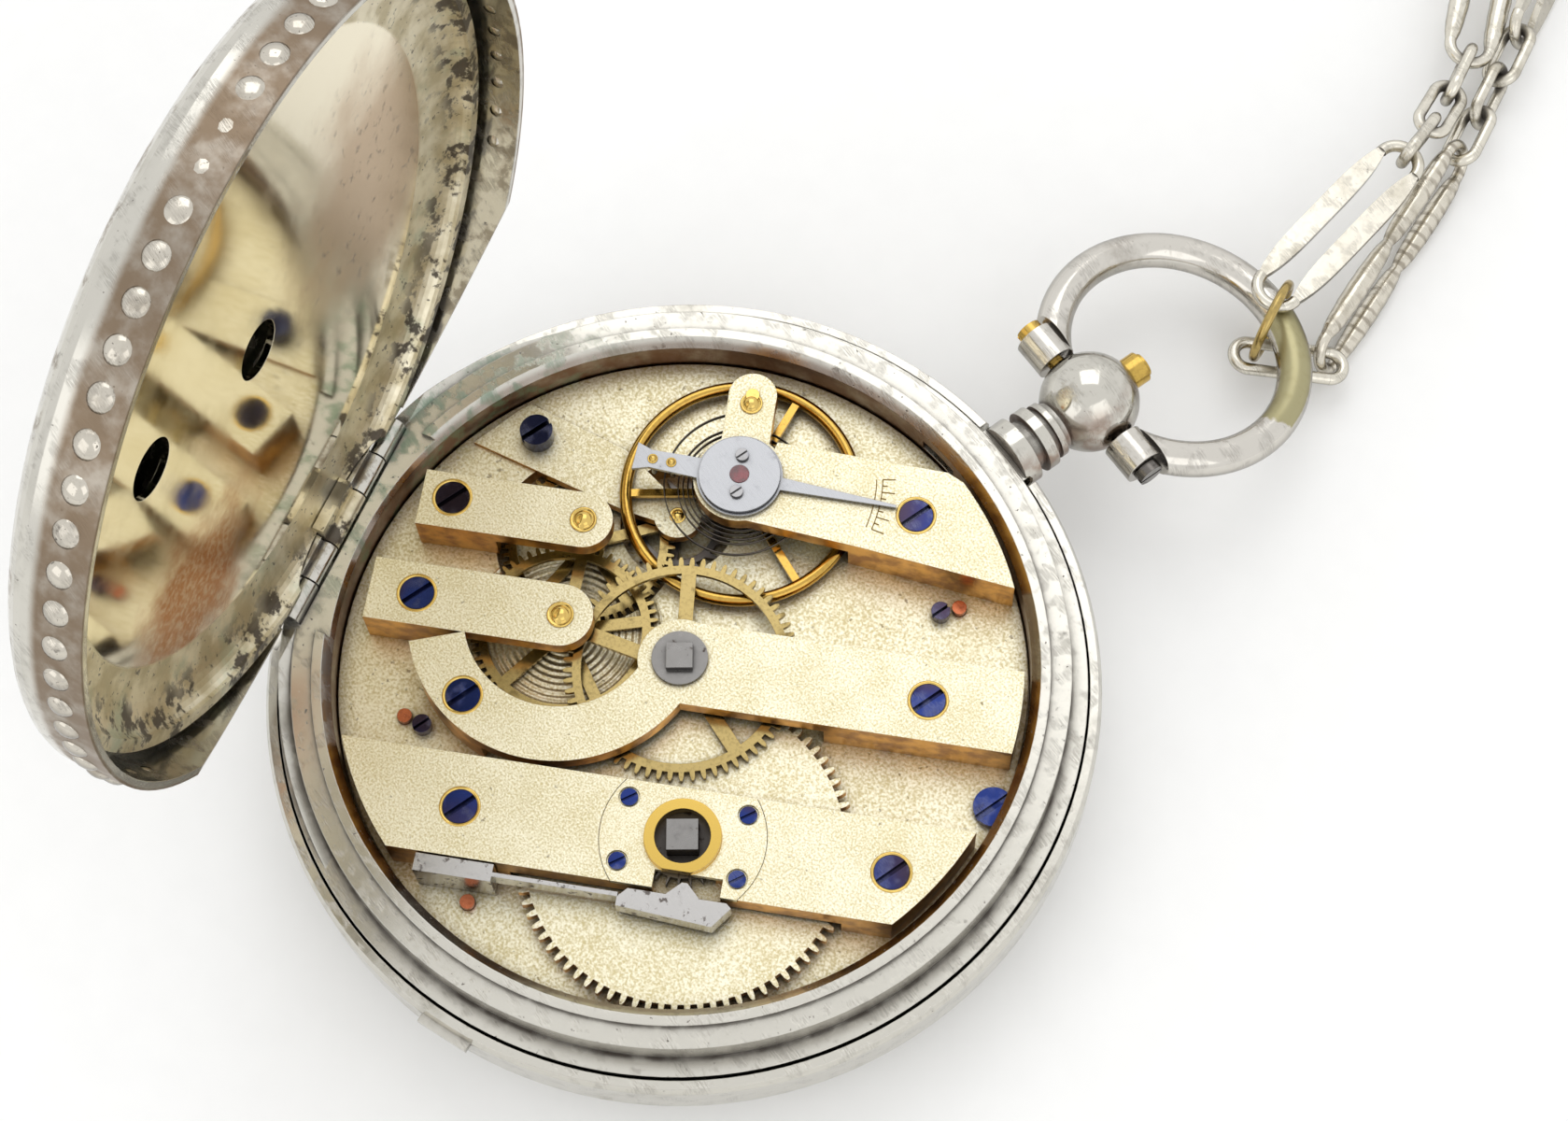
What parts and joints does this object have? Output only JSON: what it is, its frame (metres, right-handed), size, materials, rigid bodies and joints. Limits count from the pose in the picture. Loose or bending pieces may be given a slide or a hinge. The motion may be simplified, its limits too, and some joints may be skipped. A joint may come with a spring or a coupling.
{
  "type": "pocket watch",
  "caption": "Key wound hunter pocket watch lying open on its front cover, with its bar movement, inner cover, back cover, bow and part of its chain.",
  "frame": {"origin": "centre of the flat on the front cover that the watch lies on", "axes": "+Z from the front cover to the movement, +Y towards the pendant"},
  "size_m": [0.0551, 0.1185, 0.0547],
  "materials": {
    "silver": "tarnished coin silver",
    "gilt": "frosted fire gilding",
    "brass": "polished brass",
    "steel": "polished steel",
    "blued_steel": "heat blued steel",
    "copper": "bare copper",
    "crystal_glass": "clear glass",
    "enamel": "white enamel",
    "ruby": "clear red stone"
  },
  "bodies": {
    "case": {"case_band": "silver", "pendant": "silver", "bow_screws": "steel", "lid_spring": "steel", "lock_spring": "steel", "bezel": "silver", "crystal": "crystal_glass", "front_hinge_pin": "steel", "back_hinge_pin": "steel", "main_plate": "gilt", "dial": "enamel", "dial_feet": "copper", "barrel_bridge": "gilt", "centre_bridge": "gilt", "third_cock": "gilt", "fourth_cock": "gilt", "escape_cock": "gilt", "balance_cock": "gilt", "bridge_screws": "blued_steel", "case_screw": "blued_steel", "small_screws": "blued_steel", "ratchet_cap": "gilt", "hairspring_stud": "steel", "end_piece": "steel", "end_stone": "ruby", "hairspring": "blued_steel"},
    "back_lid": {"back_cover": "silver"},
    "inner_lid": {"cuvette": "silver"},
    "front_lid": {"front_cover": "silver"},
    "bow_ring": {"bow": "silver"},
    "button": {"push_button": "brass"},
    "click_lever": {"click": "steel"},
    "fourth_group": {"fourth_wheel": "brass", "fourth_pinion": "steel", "seconds_hand": "blued_steel"},
    "escape_group": {"escape_wheel": "steel"},
    "third_group": {"third_wheel": "brass", "third_pinion": "steel"},
    "centre_group": {"centre_wheel": "brass", "centre_pinion": "steel", "setting_arbor": "steel", "cannon_pinion": "steel", "minute_hand": "blued_steel"},
    "barrel_drum": {"barrel": "brass", "barrel_cover": "brass", "mainspring": "steel"},
    "minute_group": {"minute_wheel": "brass"},
    "hour_group": {"hour_wheel": "brass", "hour_hand": "blued_steel"},
    "winding_arbor": {"barrel_arbor": "steel", "ratchet_wheel": "steel"},
    "balance_group": {"balance_wheel": "brass", "balance_staff": "steel"},
    "regulator_lever": {"regulator": "steel"},
    "chain_loop": {"jump_ring": "brass", "oval_link": "silver"},
    "flat_chain_link": {"flat_link": "silver"},
    "hammered_chain_link": {"hammered_link": "silver"},
    "chain_strand_a": {"strand_a": "silver"},
    "chain_strand_b": {"strand_b": "silver"}
  },
  "joints": [
    {"name": "back_lid_hinge", "type": "hinge", "parent": "case", "child": "back_lid", "pos_m": [-0.01868, -0.01064, 0.0104], "axis": [0.4949, -0.869, 0], "range_deg": [-89.6, 0]},
    {"name": "inner_lid_hinge", "type": "hinge", "parent": "back_lid", "child": "inner_lid", "pos_m": [-0.01868, -0.01064, 0.0104], "axis": [-0.4949, 0.869, 0], "range_deg": [0, 89.6]},
    {"name": "front_lid_hinge", "type": "hinge", "parent": "case", "child": "front_lid", "pos_m": [-0.02077, -0.01183, 0.00715], "axis": [-0.4949, 0.869, 0], "range_deg": [0, 95]},
    {"name": "bow_swing", "type": "hinge", "parent": "case", "child": "bow_ring", "pos_m": [0, 0.02958, 0.0071], "axis": [1, 0, 0], "range_deg": [-75, 105]},
    {"name": "button_press", "type": "slide", "parent": "case", "child": "button", "axis": [0, -1, 0], "range_m": [0, 0.0008], "stiffness_N_per_m": 900},
    {"name": "fourth_turn", "type": "hinge", "parent": "case", "child": "fourth_group", "pos_m": [-0.01025, 0.00045, 0.0078], "axis": [0, 0, 1], "continuous": true},
    {"name": "escape_turn", "type": "hinge", "parent": "case", "child": "escape_group", "pos_m": [-0.00824, 0.0055, 0.0078], "axis": [0, 0, 1], "continuous": true},
    {"name": "third_turn", "type": "hinge", "parent": "case", "child": "third_group", "pos_m": [-0.00622, -0.00392, 0.0078], "axis": [0, 0, 1], "continuous": true},
    {"name": "centre_turn", "type": "hinge", "parent": "case", "child": "centre_group", "pos_m": [0, 0, 0.0078], "axis": [0, 0, 1], "continuous": true},
    {"name": "barrel_turn", "type": "hinge", "parent": "case", "child": "barrel_drum", "pos_m": [0.00863, -0.00591, 0.0078], "axis": [0, 0, 1], "continuous": true},
    {"name": "minute_wheel_turn", "type": "hinge", "parent": "case", "child": "minute_group", "pos_m": [0.00112, 0.00392, 0.0056], "axis": [0, 0, 1], "continuous": true},
    {"name": "hour_turn", "type": "hinge", "parent": "case", "child": "hour_group", "pos_m": [0, 0, 0.0056], "axis": [0, 0, 1], "continuous": true},
    {"name": "winding_turn", "type": "hinge", "parent": "case", "child": "winding_arbor", "pos_m": [0.00863, -0.00591, 0.0078], "axis": [0, 0, 1], "continuous": true},
    {"name": "click_flex", "type": "hinge", "parent": "case", "child": "click_lever", "pos_m": [0.0009, -0.01861, 0.0078], "axis": [0, 0, -1], "range_deg": [0, 2], "stiffness_Nm_per_rad": 0.02},
    {"name": "balance_swing", "type": "hinge", "parent": "case", "child": "balance_group", "pos_m": [-0.00703, 0.00921, 0.0078], "axis": [0, 0, 1], "range_deg": [-135, 135], "stiffness_Nm_per_rad": 0.0000022},
    {"name": "regulator_turn", "type": "hinge", "parent": "case", "child": "regulator_lever", "pos_m": [-0.00703, 0.00921, 0.01075], "axis": [0, 0, 1], "range_deg": [-12, 12]},
    {"name": "chain_loop_swing", "type": "hinge", "parent": "bow_ring", "child": "chain_loop", "pos_m": [0.0018, 0.04335, 0.00379], "axis": [0.9709, -0.2329, 0.0559], "range_deg": [-4, 4]},
    {"name": "flat_link_tilt", "type": "hinge", "parent": "chain_loop", "child": "flat_chain_link", "pos_m": [0.00057, 0.04285, 0.00543], "axis": [0.9785, 0.2011, -0.0453], "range_deg": [0, 6]},
    {"name": "hammered_link_tilt", "type": "hinge", "parent": "chain_loop", "child": "hammered_chain_link", "pos_m": [0.00572, 0.04539, 0.00163], "axis": [-0.7771, 0.6265, -0.0599], "range_deg": [0, 5]},
    {"name": "strand_a_tilt", "type": "hinge", "parent": "flat_chain_link", "child": "chain_strand_a", "pos_m": [-0.00237, 0.05699, 0.00473], "axis": [0.9785, 0.2011, -0.0453], "range_deg": [0, 15]},
    {"name": "strand_b_tilt", "type": "hinge", "parent": "hammered_chain_link", "child": "chain_strand_b", "pos_m": [-0.00139, 0.06102, 0.00192], "axis": [-0.3841, -0.1427, 0.9122], "range_deg": [-15, 0]}
  ],
  "couplings": [
    {"joint": "escape_turn", "follows": "fourth_turn", "ratio": -10},
    {"joint": "third_turn", "follows": "fourth_turn", "ratio": -0.13333},
    {"joint": "centre_turn", "follows": "fourth_turn", "ratio": 0.016667},
    {"joint": "barrel_turn", "follows": "fourth_turn", "ratio": -0.0020833},
    {"joint": "minute_wheel_turn", "follows": "fourth_turn", "ratio": -0.0055556},
    {"joint": "hour_turn", "follows": "fourth_turn", "ratio": 0.0013889}
  ]
}
